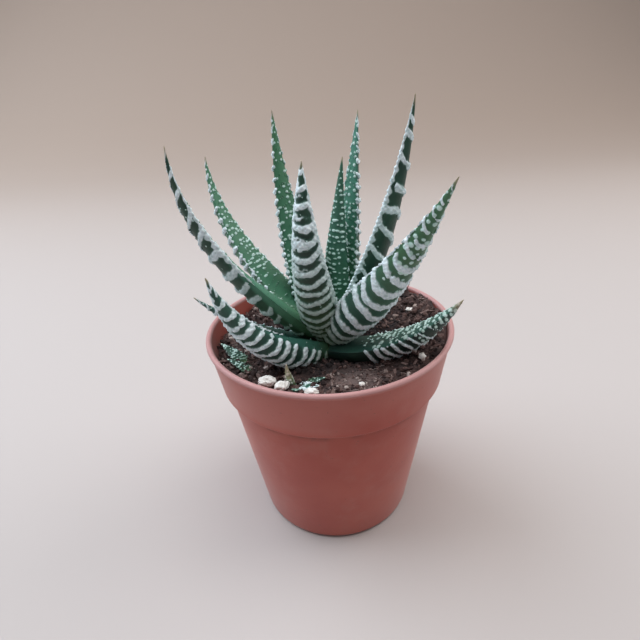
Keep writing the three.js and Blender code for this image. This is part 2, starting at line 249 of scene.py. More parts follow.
leaves = {
    "leaf_01": {"heading": 175, "at": 20, "out": 1.8, "z": 50.5, "rise": (78, 84), "length": 25, "width": 5,
                "roll": 40, "bandShare": (0.25,), "outerTone": (0.1,), "innerTone": (0.25,)},
    "leaf_02": {"heading": -140, "at": 40, "out": 3.2, "z": 50, "rise": (91, 98), "length": 35.5,
                "width": 7.4, "bandShare": (0,), "outerDots": (0.6, 0.9, 0.9, 0.9, 0.6),
                "outerTone": (0.5, 0.4), "warmth": (0.6, 0.3, 0.3), "dash": (2.6, 1.6, 0.3), "dotSize": 0.24},
    "leaf_03": {"heading": -106, "sway": -8, "out": 2, "z": 49, "rise": (56, 99), "length": 40.5,
                "width": 8.4, "taper": 1.4, "pitch": (2.0, 2.05, 3.15, 2.6), "bandShare": (0.5, 0.50, 0.40),
                "ragged": (0, 0.05, 0.25), "lean": (0.05,), "fade": 26, "edge": (4.2, 1.0),
                "marginGrow": ((0.4, 0.9, 1.0, 0.8), (1,)),
                "outerTone": (0.25, 0, 0.02, 0.1), "warmth": (0.9, 0.1, 0.2)},
    "leaf_04": {"heading": 40, "at": 43, "out": 4.1, "z": 49, "rise": (82, 81), "length": 45, "width": 7.4,
                "dots": (0, 0.1, 0.5, 0.9, 0.9, 0.8, 0.6), "dotSize": 0.26, "dash": (1.2, 0.5),
                "teeth": (0.5, 0.32), "toothGap": 2.0, "innerTone": (0.7, 0.95), "warmth": (0.9, 0.3, 0.1)},
    "leaf_05": {"heading": -32, "out": 1.5, "z": 49, "rise": (58, 82), "length": 51.5, "width": 6.9,
                "taper": 1.5, "roll": -10, "pitch": (3.2, 4.5, 4.8, 2.6), "bandShare": (0.36, 0.28, 0.3, 0.4),
                "ragged": (0.3, 0.1, 0.2), "wander": (0.2, 0.1), "lean": (-0.4, -0.5, -0.8),
                "bow": (0.5, 0.3), "edge": (0.75, 0.05), "outerTone": (0.12,), "warmth": (0.2,)},
    "leaf_06": {"heading": 130, "out": 4, "z": 49, "rise": (66, 88), "length": 46.5, "width": 7.4,
                "taper": 1.3, "dots": (0.4, 0.8, 0.8, 0.7, 0.5, 0.3), "dotSize": 0.25,
                "dash": (1.6, 0.3), "teeth": (0.42, 0.42), "innerTone": (0.55, 0.8), "warmth": (0.3, 0.7)},
    # leaf_07's light outer tone is painted light, lifting its outer face where it turns away from the light
    "leaf_07": {"heading": 152.5, "out": 4, "z": 50.5, "rise": (38, 91), "curl": 2, "length": 44,
                "width": 8.6, "roll": 5, "dots": (0, 0, 0.2, 1, 1, 0.8, 0.5, 0.4), "dash": (2.6, 0.3),
                "dotSize": 0.27, "teeth": (0.42, 0.34), "toothGap": 1.7, "innerTone": (0.5, 0.85),
                "outerTone": (0.7,), "warmth": (0.5, 0.5)},
    "leaf_08": {"heading": 205, "out": 3.5, "z": 49.5, "rise": (47, 91), "curl": 2.5, "length": 50,
                "width": 8.4, "roll": -6, "twist": 14, "firstBand": 3.0,
                "pitch": (3.0, 3.8, 4.2, 3.2), "bandShare": (0.34, 0.46, 0.34, 0.28),
                "ragged": (0.4, 0.1, 0.3), "wander": (0.14,),
                "parting": (0, 0.1, 0.9), "stagger": (0, 0.1, 0.9), "lean": (0.2, 0.3, 0.2),
                "bow": (0.7,), "bare": (0.4, 0.22, 0.02, 0), "edge": (0.05, 1.4), "fade": 26,
                "marginGrow": ((1,), (0, 0, 0, 0.8, 0.35, 0.15)), "outerDots": (0, 0, 0.2, 0.6),
                "dots": (0, 0, 0, 0.3, 0.5, 0.4),
                "outerTone": (0.25, 0), "innerTone": (0.9, 0.95, 0.5), "warmth": (0.4, 0.3, 0.2)},
    "leaf_09": {"heading": -48, "sway": 0.5, "at": -80, "out": 3.7, "z": 48.8, "rise": (44.5, 61),
                "length": 47.9, "width": 8.7, "belly": 0.35, "roll": -60, "twist": 42,
                "pitch": (2.0, 3.8, 3.2, 2.5, 2.2),
                "bandShare": (0.58, 0.58, 0.56, 0.50, 0.3, 0.1), "ragged": (-0.4, -0.4, -0.4, 0, 1.1, 1.5),
                "parting": (0, 0, 0, 0.4), "outerDots": (0, 0, 0, 0.3, 1.3, 1.2), "dotSize": 0.34,
                "dotGap": 4.4, "teeth": (0.36, 0.46), "toothGap": 1.7,
                "bow": (1.3, 1.1, 0.8), "lean": (-0.15,), "fade": 10, "edge": (0.1, 0.3),
                "dots": (0, 0.3, 0.6, 0.8, 0.6),
                "outerTone": (0.05, 0.3, 0.6), "warmth": (0.3, 0.2, 0.8, 0.7)},
    # the dark tones and short fade at leaf_10's root are painted shade under leaf_09
    "leaf_10": {"heading": -18.2, "at": -85, "out": 5.8, "z": 47.6, "rise": (2, 51.5), "length": 31,
                "width": 9.4, "neck": 0.8, "taper": 1.9, "roll": -8, "firstBand": 10.5, "bow": (-1.2,),
                "fade": 0.5, "pitch": (2.0,), "bandShare": (0.5, 0.5, 0.5, 0.1, 0), "ragged": (0, 0.1, 0.4),
                "dots": (0, 0, 0.8, 1.3, 1.3, 1.3), "outerDots": (0, 0, 0, 0.6, 1), "dotSize": 0.36,
                "dotGap": 3.7, "tipStart": 0.86, "dash": (1.0, 0.6), "edge": (0, 0),
                "teeth": (0.42, 0.36), "toothGap": 1.5,
                "marginGrow": ((0, 0, 0.8, 1, 1), (0, 0, 0.8, 1, 1)), "outerTone": (-0.1, 0.05),
                "innerTone": (0, 0.3, 0.4), "warmth": (0.05,)},
    "leaf_11": {"heading": 215, "at": 255, "out": 6, "z": 45.8, "rise": (15, 78), "length": 36, "width": 7.3,
                "roll": 72, "pitch": (2.3, 2.5, 2.5, 2.1), "bandShare": (0.52, 0.5, 0.55),
                "ragged": (-0.2, 0, 0.6), "parting": (0, 0, 0.7), "stagger": (0, 0, 0.5), "bow": (0.9,),
                "lean": (-0.3,), "bare": (0.6, 0.3, 0.05, 0), "fade": 6, "edge": (1.4, 0.5),
                "marginGrow": ((1,), (0, 0, 0.6, 1)), "outerTone": (0.1, 0.2), "warmth": (0.1,)},
    "leaf_12": {"heading": 195, "at": 215, "out": 5, "z": 47.6, "rise": (18.5, 45), "length": 27.8,
                "width": 6.2, "roll": 10, "pitch": (2.2, 1.8), "ragged": (0.1, 0.6),
                "dots": (0, 0, 0, 0.6, 0.8), "innerTone": (0.45,), "warmth": (0.05,)},
    "leaf_13": {"heading": 75, "at": 80, "out": 4.5, "z": 47, "rise": (25, 45), "length": 26, "width": 7.5},
}
pupDefaults = {
    "bandShare": (0,), "dots": (0.9,), "outerDots": (0.9,), "dotSize": 0.19, "dotGap": 3.6, "edge": (0, 0),
    "fade": 3, "teeth": (0.12, 0.12), "toothGap": 0.8,
    "outerTone": (0.3,), "innerTone": (0.35,), "warmth": (0.15,),
}
pups = {
    # the left pup's dark tones are painted shade
    "pup_left_leaf_01": {"heading": 138, "at": 206, "out": 20.4, "z": 45.8, "rise": (24, 4), "length": 8.4,
                         "width": 3.8, "roll": 10, "outerTone": (0.05,), "innerTone": (0.12,)},
    "pup_left_leaf_02": {"heading": 152, "at": 215, "out": 20.6, "z": 45.6, "rise": (20, 8), "length": 6.2,
                         "width": 3, "roll": 10, "outerTone": (0.05,), "innerTone": (0.12,)},
    "pup_front_leaf_01": {"heading": 200, "at": -112.5, "out": 18.8, "z": 45.8, "rise": (66, 82),
                          "length": 5.3, "width": 2.8, "taper": 1.6, "dots": (1.3,), "outerDots": (1.3,),
                          "dotSize": 0.28, "fade": 0.5, "outerTone": (2.2,), "innerTone": (2.2,),
                          "warmth": (1.3,), "tipStart": -0.3},
    "pup_front_leaf_02": {"heading": -14, "at": -109.5, "out": 20, "z": 45.9, "rise": (22, 0),
                          "length": 4.6, "width": 2.6, "edge": (2.4, 2.4), "dots": (0.2,),
                          "outerDots": (0.2,), "fade": 0.5},
    "pup_front_leaf_03": {"heading": 2, "at": -105.7, "out": 18.4, "z": 45.9, "rise": (26, 6),
                          "length": 4.2, "width": 2.2, "dots": (0.3,),
                          "outerTone": (0.1,), "innerTone": (0.1,)},
    "pup_front_leaf_04": {"heading": 270, "at": -109.7, "out": 20.5, "z": 45.9, "rise": (34, 25),
                          "length": 2.8, "width": 1.8, "outerTone": (0.6,), "innerTone": (0.6,)},
}
leafMesh = {"ringSpacing": 0.19, "around": 96, "pupRings": 48, "pupAround": 48}
section = {                                  # shares of the half width, and what each gains towards the tip
    "depth": 0.9, "depthGain": 0.05, "swell": 0.12, "swellGain": 0.25, "keelSharpness": 1.15,
    "tipHalfWidth": 0.1,                     # mm
}
relief = {"band": 0.40, "dot": 0.20, "tooth": 0.30, "sunk": 0.15}     # mm; bare skin lies sunk between bands
farBelow = -3.0                              # a field's value where nothing is drawn; a mark is from 0 to 1


def pointing(climb, bearing):
    return np.stack([np.cos(climb) * np.cos(bearing), np.cos(climb) * np.sin(bearing), np.sin(climb)], -1)


def midrib(leaf, share):
    def turnAt(part):
        low, high = leaf["rise"]
        climb = np.radians(low + (high - low) * part ** leaf["curl"])
        return climb, np.radians(leaf["heading"] + leaf["sway"] * part)

    steps = pointing(*turnAt((share[:-1] + share[1:]) / 2)) * leaf["length"] / (len(share) - 1)
    start = math.radians(leaf.get("at", leaf["heading"]))
    root = np.array([[leaf["out"] * math.cos(start), leaf["out"] * math.sin(start), leaf["z"]]])
    points = np.concatenate([root, root + np.cumsum(steps, 0)])
    climb, bearing = turnAt(share)
    along, inner = pointing(climb, bearing), pointing(climb + math.pi / 2, bearing)
    side = np.cross(along, inner)
    turn = np.radians(leaf["roll"] + leaf["twist"] * share)[:, None]
    return points, inner * np.cos(turn) + side * np.sin(turn), side * np.cos(turn) - inner * np.sin(turn)


def halfWidth(leaf, share):
    belly = leaf["belly"]
    swell = leaf["neck"] + (1 - leaf["neck"]) * np.sin(np.pi / 2 * np.minimum(share / belly, 1))
    narrow = 1 - np.maximum((share - belly) / (1 - belly), 0) ** leaf["taper"]
    return leaf["width"] / 2 * swell * narrow + section["tipHalfWidth"]


def leafSkin(leaf, share, angles):           # places of the bare skin, by ring and by place round the ring
    points, inner, side = midrib(leaf, share)
    half = halfWidth(leaf, share)
    depth = half * (section["depth"] + section["depthGain"] * share ** 2)
    swell = half * (section["swell"] + section["swellGain"] * share ** 1.5)
    up = np.sin(angles)[None, :]
    across = np.cos(angles)[None, :] * half[:, None]
    keel = -np.abs(up) ** section["keelSharpness"] * depth[:, None]
    lift = np.where(up > 0, up * swell[:, None], keel)
    return points[:, None] + side[:, None] * across[..., None] + inner[:, None] * lift[..., None]


def skinRuler(skin):                         # distances over the skin, in mm, from its keel, edges and midline
    around = skin.shape[1]
    gaps = np.linalg.norm(np.roll(skin, -1, 1) - skin, axis=2)
    run = np.concatenate([np.zeros((len(skin), 1)), np.cumsum(gaps, 1)], 1)
    whole, right = run[:, -1:], run[:, around // 2][:, None]
    keel = run[:, around * 3 // 4][:, None]
    midline = run[:, around // 4][:, None]
    run = run[:, :-1]
    return {
        "keel": whole / 2 - (run - keel + whole / 2) % whole,
        "midline": (run - midline + whole / 2) % whole - whole / 2,
        "left": np.minimum(run, whole - run), "right": np.abs(run - right),
        "inner": np.broadcast_to(np.arange(around) <= around // 2, run.shape),
        "outerHalf": (whole - right) / 2, "innerHalf": right / 2,
    }


def spread(values, share):                   # values spread evenly from root to tip
    return np.interp(share, np.linspace(0, 1, len(values)), values)


def partWay(leaf, key, share):
    return spread(leaf[key], share)


def ripple(place, draw, waves):              # a smooth random curve made of a few sines
    return sum(size * np.sin(place * rate + draw.uniform(0, 6.28)) for rate, size in waves)


def bandField(leaf, ruler, distance, draw):
    field = np.full(distance.shape, farBelow)
    half, across = ruler["outerHalf"], ruler["keel"]
    reach = across / half
    bare = partWay(leaf, "bare", distance / leaf["length"])
    past = np.maximum(np.abs(across) - half, across - half * (1 - bare))
    past = np.clip((past + 0.15) / 0.5, 0, 1)                         # bands die out just over the margin
    place = leaf["firstBand"]
    while place < leaf["length"] - 0.8:
        share = place / leaf["length"]
        pitch = partWay(leaf, "pitch", share)
        thick = pitch * partWay(leaf, "bandShare", share) / 2 * draw.uniform(0.85, 1.15)
        wander = partWay(leaf, "wander", share) * pitch
        ragged, parting = partWay(leaf, "ragged", share), partWay(leaf, "parting", share)
        shift = partWay(leaf, "stagger", share) * pitch * np.tanh(reach * 4) / 2
        lean, bow = partWay(leaf, "lean", share) + draw.normal(0, 0.04), partWay(leaf, "bow", share)
        line = place + lean * across + bow * reach ** 2 + shift
        line = line + ripple(across, draw, [(0.7, wander), (1.6, wander * 0.4)])
        body = thick * (1 + ripple(across, draw, [(1.7, 0.08), (4.2, 0.07)]))
        broken = ripple(across, draw, [(1.1, 0.6), (2.7, 0.6)]) + draw.uniform(-0.3, 0.3)
        body = body * (1 - np.clip((broken - 1.1 + ragged) * 2.5, 0, 0.97))
        body = body * (1 - parting * np.exp(-(reach / 0.28) ** 2)) * np.sqrt(1 - past ** 2)
        near = slice(*np.searchsorted(distance[:, 0], [place - 3 * pitch, place + 3 * pitch]))
        depth = 1 - np.abs(distance - line)[near] / np.maximum(body[near], 0.02)
        if thick > 0:
            field[near] = np.maximum(field[near], depth)
        place += pitch * draw.uniform(0.9, 1.1)
    return field


def spotField(field, distance, across, place, centre, radius, stretch):
    near = slice(*np.searchsorted(distance[:, 0], [place - 2, place + 2]))
    gone = np.hypot((distance - place)[near], (across[near] - centre) / stretch)
    field[near] = np.maximum(field[near], 1 - gone / radius)


def dotField(leaf, ruler, distance, draw):
    field = np.full(distance.shape, farBelow)
    faces = [("dots", np.where(ruler["inner"], ruler["midline"], 99), ruler["innerHalf"]),
             ("outerDots", np.where(ruler["inner"], 99, ruler["keel"]), ruler["outerHalf"])]
    for key, across, halves in faces:
        place = 0.5
        while place < leaf["length"] * 0.975:
            share = place / leaf["length"]
            half = np.interp(place, distance[:, 0], halves[:, 0])
            full = partWay(leaf, key, share)
            count = max(1, round(2 * half / (leaf["dotGap"] * leaf["dotSize"])))
            for index in range(count):
                side = (index + 0.5) / count * 2 - 1
                if draw.uniform() > full * (1.25 - 0.5 * abs(side)):
                    continue
                centre = side * half * 0.9 + draw.normal(0, 0.12)
                radius = leaf["dotSize"] * draw.uniform(0.7, 1.35) * (0.6 + 0.4 * min(1, full * 2))
                wide = draw.uniform(1, 1 + partWay(leaf, "dash", share))
                spotField(field, distance, across, place + draw.normal(0, 0.2), centre, radius, wide)
            place += draw.uniform(0.8, 1.1) * leaf["dotGap"] * leaf["dotSize"]
    return field


def toothField(leaf, ruler, distance, draw):
    field = np.full(distance.shape, farBelow)
    for margin, size, grow in zip(("left", "right"), leaf["teeth"], leaf["marginGrow"]):
        place = draw.uniform(0.5, 1.5) * leaf["toothGap"]
        while place < leaf["length"] * 0.97:
            share = place / leaf["length"]
            radius = size * draw.uniform(0.8, 1.2) * (1 - 0.4 * share) * spread(grow, share)
            if radius > 0.08:
                spotField(field, distance, ruler[margin], place, 0, radius, 1.3)
            place += leaf["toothGap"] * draw.uniform(0.75, 1.2)
    return field


def edgeField(leaf, ruler, distance, draw):   # a broken white line that follows a margin
    field = np.full(distance.shape, farBelow)
    thinnest = 0.04                          # mm; a thinner line isn't drawn
    slim = np.clip(halfWidth(leaf, distance / leaf["length"]) / 2.6, 0.1, 1)
    for margin, width, grow in zip(("left", "right"), leaf["edge"], leaf["marginGrow"]):
        wide = width * spread(grow, distance / leaf["length"]) * slim
        wide = wide * (0.8 + ripple(distance, draw, [(1.3, 0.2), (3.3, 0.35)]))
        line = np.where(wide > thinnest, 1 - ruler[margin] / np.maximum(wide, thinnest), farBelow)
        freckles = ripple(distance + ruler[margin], draw, [(3.1, 0.5)]) \
            + ripple(distance - ruler[margin], draw, [(3.9, 0.5)])
        line = line - 0.8 * np.clip(freckles, 0, 1) * np.clip(wide / 3, 0, 1)
        field = np.maximum(field, line)
    return field


def rounded(field):                          # a bead's height over its own width, from 0 to 1
    depth = np.clip(field, 0, 1)
    return np.sqrt(1 - (1 - depth) ** 2)


def tipOf(places, root):
    return places[np.argmax(np.linalg.norm(places - root, axis=1))]


def makeLeaf(node, settings, seed, material, slot):
    leaf = {**leafDefaults, **settings}
    draw = np.random.default_rng(seed)
    around, rings = leafMesh["around"], round(leaf["length"] / leafMesh["ringSpacing"])
    if slot == "pup_green":
        around, rings = leafMesh["pupAround"], leafMesh["pupRings"]
    share = np.linspace(0, 1, rings)
    skin = leafSkin(leaf, share, np.arange(around) * 2 * math.pi / around)
    ruler = skinRuler(skin)
    distance = np.broadcast_to((share * leaf["length"])[:, None], skin.shape[:2])
    bands = bandField(leaf, ruler, distance, draw)
    dots = dotField(leaf, ruler, distance, draw)
    teeth = toothField(leaf, ruler, distance, draw)
    edges = edgeField(leaf, ruler, distance, draw)
    white = np.maximum.reduce([bands, dots, teeth, edges])
    slim = np.clip(halfWidth(leaf, share) / 1.8, 0.12, 1)[:, None]
    knobs = 1 + ripple(distance + ruler["keel"], draw, [(3.1, 0.12), (6.3, 0.20)]) \
        + ripple(distance - ruler["keel"], draw, [(3.7, 0.12), (7.1, 0.20)])
    lift = np.maximum.reduce([
        relief["band"] * rounded(np.maximum(bands, edges * 0.8)) * knobs, relief["dot"] * rounded(dots),
        relief["tooth"] * rounded(teeth),
    ]) * slim - relief["sunk"] * slim
    grid = share[:, None]
    inner = np.clip(0.5 + np.where(ruler["inner"], 1, -1)
                    * np.minimum(ruler["left"], ruler["right"]) / 0.6, 0, 1)
    turned = ruler["keel"] - ruler["outerHalf"] * (1 - partWay(leaf, "bare", grid))
    inner = np.maximum(inner, np.clip(0.5 + turned / 0.8, 0, 1))
    tone = inner * partWay(leaf, "innerTone", grid) + (1 - inner) * partWay(leaf, "outerTone", grid)
    fields = {
        "white": white, "tone": tone, "warmth": partWay(leaf, "warmth", grid) + 0 * white,
        "fresh": np.clip(1.1 - distance / leaf["fade"], 0, 1),
        "dry": np.clip((grid - leaf["tipStart"]) / (1 - leaf["tipStart"]), 0, 1) + 0 * white,
        "pale": np.clip(0.5 + 3 * (dots - np.maximum(bands, edges)), 0, 1),
    }

    bm = bmesh.new()                         # the sphere's poles close the root and the tip
    bmesh.ops.create_uvsphere(bm, u_segments=around, v_segments=rings + 1, radius=1)
    mesh = toMesh(bm, node + "_skin")
    sphere = readPlaces(mesh)
    row = np.rint(np.arccos(np.clip(sphere[:, 2], -1, 1)) * (rings + 1) / math.pi).astype(int) - 1
    column = np.rint(np.arctan2(sphere[:, 1], sphere[:, 0]) * around / (2 * math.pi)).astype(int) % around
    isPole = (row < 0) | (row >= rings)
    row = np.clip(row, 0, rings - 1)
    centres = skin.mean(1)
    places = np.where(isPole[:, None], centres[row], skin[row, column])

    start = math.radians(leaf.get("at", leaf["heading"]))
    root = np.array([leaf["out"] * math.cos(start), leaf["out"] * math.sin(start), leaf["z"]]) * mm
    cadTip = tipOf(readPlaces(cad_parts[node].data), root)
    places = places * mm
    places += cadTip - tipOf(places, root)
    mesh.vertices.foreach_set("co", places.ravel())
    mesh.update()
    normals = np.empty(len(places) * 3)
    mesh.vertex_normals.foreach_get("vector", normals)
    places += normals.reshape(-1, 3) * (lift[row, column] * ~isPole)[:, None] * mm
    mesh.vertices.foreach_set("co", places.ravel())
    mesh.update()
    for name, field in fields.items():
        setField(mesh, name, field[row, column])
    addPiece(node + "_skin", mesh, material, slot, node)


leafColours = {
    "coolDark": (0.006, 0.024, 0.021, 1), "coolBright": (0.066, 0.262, 0.215, 1),
    "warmDark": (0.018, 0.044, 0.016, 1), "warmBright": (0.100, 0.280, 0.105, 1),
    "mottle": (0.08, 0.20, 0.12, 1), "fresh": (0.105, 0.175, 0.050, 1), "dryTip": (0.40, 0.34, 0.22, 1),
    "halo": (0.10, 0.25, 0.20, 1), "chalk": (0.68, 0.80, 0.87, 1), "chalkPeak": (0.87, 0.97, 1.0, 1),
    "chalkPit": (0.36, 0.52, 0.50, 1), "chalkDot": (0.36, 0.66, 0.50, 1), "chalkFresh": (0.23, 0.36, 0.25, 1),
    "chalkTip": (0.55, 0.47, 0.38, 1),
}


def makeLeafFinish():
    skin = newFinish("leafSkin")
    place = skin.place()
    white, tone, warmth = (skin.attribute(name) for name in ("white", "tone", "warmth"))
    fresh, dry, pale = (skin.attribute(name) for name in ("fresh", "dry", "pale"))
    mottle = skin.noise(place, 260, 4)
    grain = skin.noise(place, 2600, 2)
    cloud = skin.noise(place, 90, 2)
    beads = skin.noise(place, 1150, 2)
    cool = skin.mix(tone, leafColours["coolDark"], leafColours["coolBright"])
    warm = skin.mix(tone, leafColours["warmDark"], leafColours["warmBright"])
    green = skin.mix(warmth, cool, warm)
    blotch = skin.mix(0.4, green, leafColours["mottle"])
    green = skin.mix(skin.between(mottle, 0.35, 0.7) * 0.4, green, blotch)
    green = skin.mix(fresh * fresh * (0.25 + 0.4 * cloud), green, leafColours["fresh"])
    tip = skin.between(dry, 0.1, 0.9)
    green = skin.mix(tip * 0.9, green, leafColours["dryTip"])
    mask = skin.between(white + 0.14 * (mottle - 0.5) + 0.5 * (beads - 0.5), -0.10, 0.25)
    halo = skin.between(white, -0.55, 0.0)
    green = skin.mix(halo * 0.3, green, leafColours["halo"])
    chalk = skin.mix(skin.between(grain, 0.3, 0.75), leafColours["chalk"], leafColours["chalkPeak"])
    chalk = skin.mix(skin.between(beads, 0.55, 0.3) * 0.6, chalk, leafColours["chalkPit"])
    chalk = skin.mix(pale * 0.45, chalk, leafColours["chalkDot"])
    chalk = skin.mix(fresh * 0.85, chalk, leafColours["chalkFresh"])
    chalk = skin.mix(tip, chalk, leafColours["chalkTip"])
    colour = skin.mix(mask, green, chalk)
    roughness = 0.44 + 0.20 * mask + 0.08 * (grain - 0.5)
    normal = skin.bump(grain + 0.6 * mottle, 0.35, 0.00012)
    return skin.surface(colour, roughness, normal, **{"Specular IOR Level": 0.4})


leafFinish = makeLeafFinish()
for seed, (node, settings) in enumerate(leaves.items()):
    makeLeaf(node, settings, seed + 11, leafFinish, "leaf_green")
for seed, (node, settings) in enumerate(pups.items()):
    makeLeaf(node, {**pupDefaults, **settings}, seed + 31, leafFinish, "pup_green")
print("leaves ready")

# stem

stem = {"dark": (0.075, 0.105, 0.035, 1), "light": (0.19, 0.17, 0.08, 1), "ridges": 0.03, "lumps": 0.04}


def makeStem():
    low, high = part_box("stem")
    radius = (high.x - low.x) / 2
    bm = bmesh.new()
    bmesh.ops.create_uvsphere(bm, u_segments=64, v_segments=48, radius=1)
    for vert in bm.verts:
        height = (vert.co.z + 1) / 2
        swell = math.sqrt(max(0, 1 - vert.co.z ** 2)) ** 0.7
        ridge = 1 + stem["ridges"] * math.sin(height * 40) + stem["lumps"] * noise.noise(vert.co * 5)
        around = vert.co.xy.normalized() if swell > 0.01 else vert.co.xy
        vert.co.x, vert.co.y = around * radius * swell * ridge * min(1, 0.35 + height * 1.2)
        vert.co.z = low.z + (high.z - low.z) * height
    finish = newFinish("crownSkin")
    mottle = finish.noise(finish.place(), 400, 4)
    colour = finish.mix(finish.between(mottle, 0.3, 0.7), stem["dark"], stem["light"])
    material = finish.surface(colour, 0.6, finish.bump(mottle, 0.5, 0.0003))
    addPiece("crown", toMesh(bm, "crown"), material, "stem_green", "stem")


makeStem()
print("stem ready")

# pot

pot = {
    "rimRadius": 27.5, "height": 49.5, "segments": 160,
    "baseShare": 19 / 27.5, "bodyShare": 24.2 / 27.5, "footShare": 25.5 / 27.5,    # parts of the rim's radius
    "shoulderFoot": 37.1, "shoulderTop": 37.8, "lip": 0.6, "wall": 0.9, "floor": 1.4, "rounding": 1.6,
    "drains": 4, "drainRadius": 2.6, "drainCircle": 11.5,
    "lean": 0.35, "leanSide": 35, "oval": 0.6, "ovalSide": 10,       # mm at the rim, and their bearings
    "dents": 0.16, "dentSide": 38,
}


def sag(x, y, z):                            # the pot and its soil lean and are never quite round, all in mm
    share = z / pot["height"]
    side = math.radians(pot["leanSide"])
    turn = math.atan2(y, x) - math.radians(pot["ovalSide"])
    widen = 1 + pot["oval"] * share / pot["rimRadius"] * math.cos(2 * turn)
    shift = pot["lean"] * share
    return x * widen + shift * math.cos(side), y * widen + shift * math.sin(side)


def arc(radius, height, size, start, end, steps):
    turns = [math.radians(start + (end - start) * step / steps) for step in range(steps + 1)]
    return [(radius + size * math.cos(turn), height + size * math.sin(turn)) for turn in turns]


def spunBody(outline, segments):             # turns an outline, given in mm, about the upright axis
    bm = bmesh.new()
    verts = [bm.verts.new((radius * mm, 0, height * mm)) for radius, height in outline]
    edges = [bm.edges.new(pair) for pair in zip(verts, verts[1:])]
    bmesh.ops.spin(bm, geom=verts + edges, cent=(0, 0, 0), axis=(0, 0, 1), dvec=(0, 0, 0),
                   angle=2 * math.pi, steps=segments, use_merge=True)
    bmesh.ops.remove_doubles(bm, verts=bm.verts, dist=1e-6)
    bmesh.ops.recalc_face_normals(bm, faces=bm.faces)
    return bm


def makePot():
    low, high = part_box("pot")
    ovalAcross = pot["oval"] * math.cos(2 * math.radians(pot["ovalSide"]))
    rim, top = (high.x - low.x) / 2 / mm - ovalAcross, high.z / mm
    base, body, foot = (rim * pot[key] for key in ("baseShare", "bodyShare", "footShare"))
    wall, floor, lip = pot["wall"], pot["floor"], pot["lip"]
    outline = [(0, 0)]
    outline += arc(base - pot["rounding"], pot["rounding"], pot["rounding"], -90, -8, 8)
    outline += arc(body + 0.3, pot["shoulderFoot"] - 0.3, 0.3, 188, 125, 5)
    outline += arc(foot - 0.3, pot["shoulderTop"] + 0.2, 0.3, -65, 10, 6)
    outline += [(rim - 0.62, top - 1.75), (rim - 0.55, top - 1.35)]
    outline += arc(rim - lip, top - lip, lip, -60, 180, 18)
    outline += [(rim - 2 * lip - 0.1, top - 1.6)]
    outline += arc(foot - wall, pot["shoulderTop"] + 0.8, 0.3, 0, -60, 3)
    outline += [(body - wall, pot["shoulderFoot"] + 0.4), (base - wall, floor + 0.8)]
    outline += [(base - wall - 0.8, floor), (0, floor)]
    bm = spunBody(outline, pot["segments"])
    for vert in bm.verts:
        spin = math.atan2(vert.co.y, vert.co.x)
        swell = pot["dents"] * math.cos(3 * (spin - math.radians(pot["dentSide"]))) * vert.co.z / high.z
        vert.co.xy *= 1 + swell * mm / max(vert.co.xy.length, 0.01)
        vert.co.xy = Vector(sag(*(vert.co / mm))) * mm
    mesh = toMesh(bm, "nurseryPot")

    cutters = bmesh.new()
    for index in range(pot["drains"]):
        turn = Matrix.Rotation(math.radians(45 + index * 360 / pot["drains"]), 4, "Z")
        place = turn @ Matrix.Translation((pot["drainCircle"] * mm, 0, 0))
        bmesh.ops.create_cone(cutters, cap_ends=True, segments=40, radius1=pot["drainRadius"] * mm,
                              radius2=pot["drainRadius"] * mm, depth=floor * 4 * mm, matrix=place)
    cutter = bpy.data.objects.new("drainCutter", toMesh(cutters, "drainCutter"))
    bpy.context.scene.collection.objects.link(cutter)
    shell = bpy.data.objects.new("drilledPot", mesh)
    bpy.context.scene.collection.objects.link(shell)
    drill = shell.modifiers.new("drill", "BOOLEAN")
    drill.operation, drill.object, drill.solver = "DIFFERENCE", cutter, "EXACT"
    drilled = bpy.data.meshes.new_from_object(shell.evaluated_get(bpy.context.evaluated_depsgraph_get()))
    drilled.name = "nurseryPot"
    bpy.data.objects.remove(shell)
    bpy.data.objects.remove(cutter)
    addPiece("nurseryPot", drilled, makePotFinish(), "terracotta_plastic", "pot")


potColours = {
    "deep": (0.385, 0.066, 0.045, 1), "light": (0.455, 0.098, 0.068, 1), "haze": (0.46, 0.20, 0.17, 1),
    "dust": (0.44, 0.20, 0.18, 1), "creaseShade": (0.095, 0.022, 0.018, 1), "lip": (0.575, 0.37, 0.375, 1),
    "speck": (0.12, 0.07, 0.05, 1),
}
potHeights = {                               # metres; where each tint starts and where it is full; the crease rows place the painted shade under the collar's ledge
    "dust": (0.0375, 0.040), "creaseShadeFoot": (0.0352, 0.0368), "creaseShadeTop": (0.0375, 0.0371),
    "lip": (0.0485, 0.0491),
}


def makePotFinish():
    plastic = newFinish("terracottaPlastic")
    place = plastic.place()
    height = plastic.add("ShaderNodeSeparateXYZ", {"Vector": place}, output=2)
    cloud = plastic.noise(place, 45, 3)
    haze = plastic.noise(place, 120, 5, 0.6)
    speck = plastic.noise(place, 1500, 2)
    dustBand, creaseShadeFoot, creaseShadeTop, lip = (plastic.between(height, *ends) for ends in potHeights.values())
    colour = plastic.mix(plastic.between(cloud, 0.3, 0.7), potColours["deep"], potColours["light"])
    colour = plastic.mix(plastic.between(haze, 0.5, 0.8) * 0.3, colour, potColours["haze"])
    dust = dustBand * plastic.between(cloud, 0.35, 0.65)
    colour = plastic.mix(dust * 0.25, colour, potColours["dust"])
    # painted shade: a dark line under the collar's ledge, made patchy by the haze
    creaseShade = creaseShadeFoot * creaseShadeTop * plastic.between(haze, 0.4, 0.75)
    colour = plastic.mix(creaseShade * 0.8, colour, potColours["creaseShade"])
    # the pale lip: partly a worn whitish edge, partly painted highlight where the rim's top catches light
    colour = plastic.mix(lip * 0.65, colour, potColours["lip"])
    colour = plastic.mix(plastic.between(speck, 0.70, 0.76) * 0.5, colour, potColours["speck"])
    roughness = 0.36 + 0.16 * haze
    normal = plastic.bump(haze + 0.5 * speck, 0.12, 0.0003)
    return plastic.surface(colour, roughness, normal, **{
        "Specular IOR Level": 0.35, "Sheen Weight": 0.17, "Sheen Roughness": 0.45,
    })


makePot()
print("pot ready")

# soil

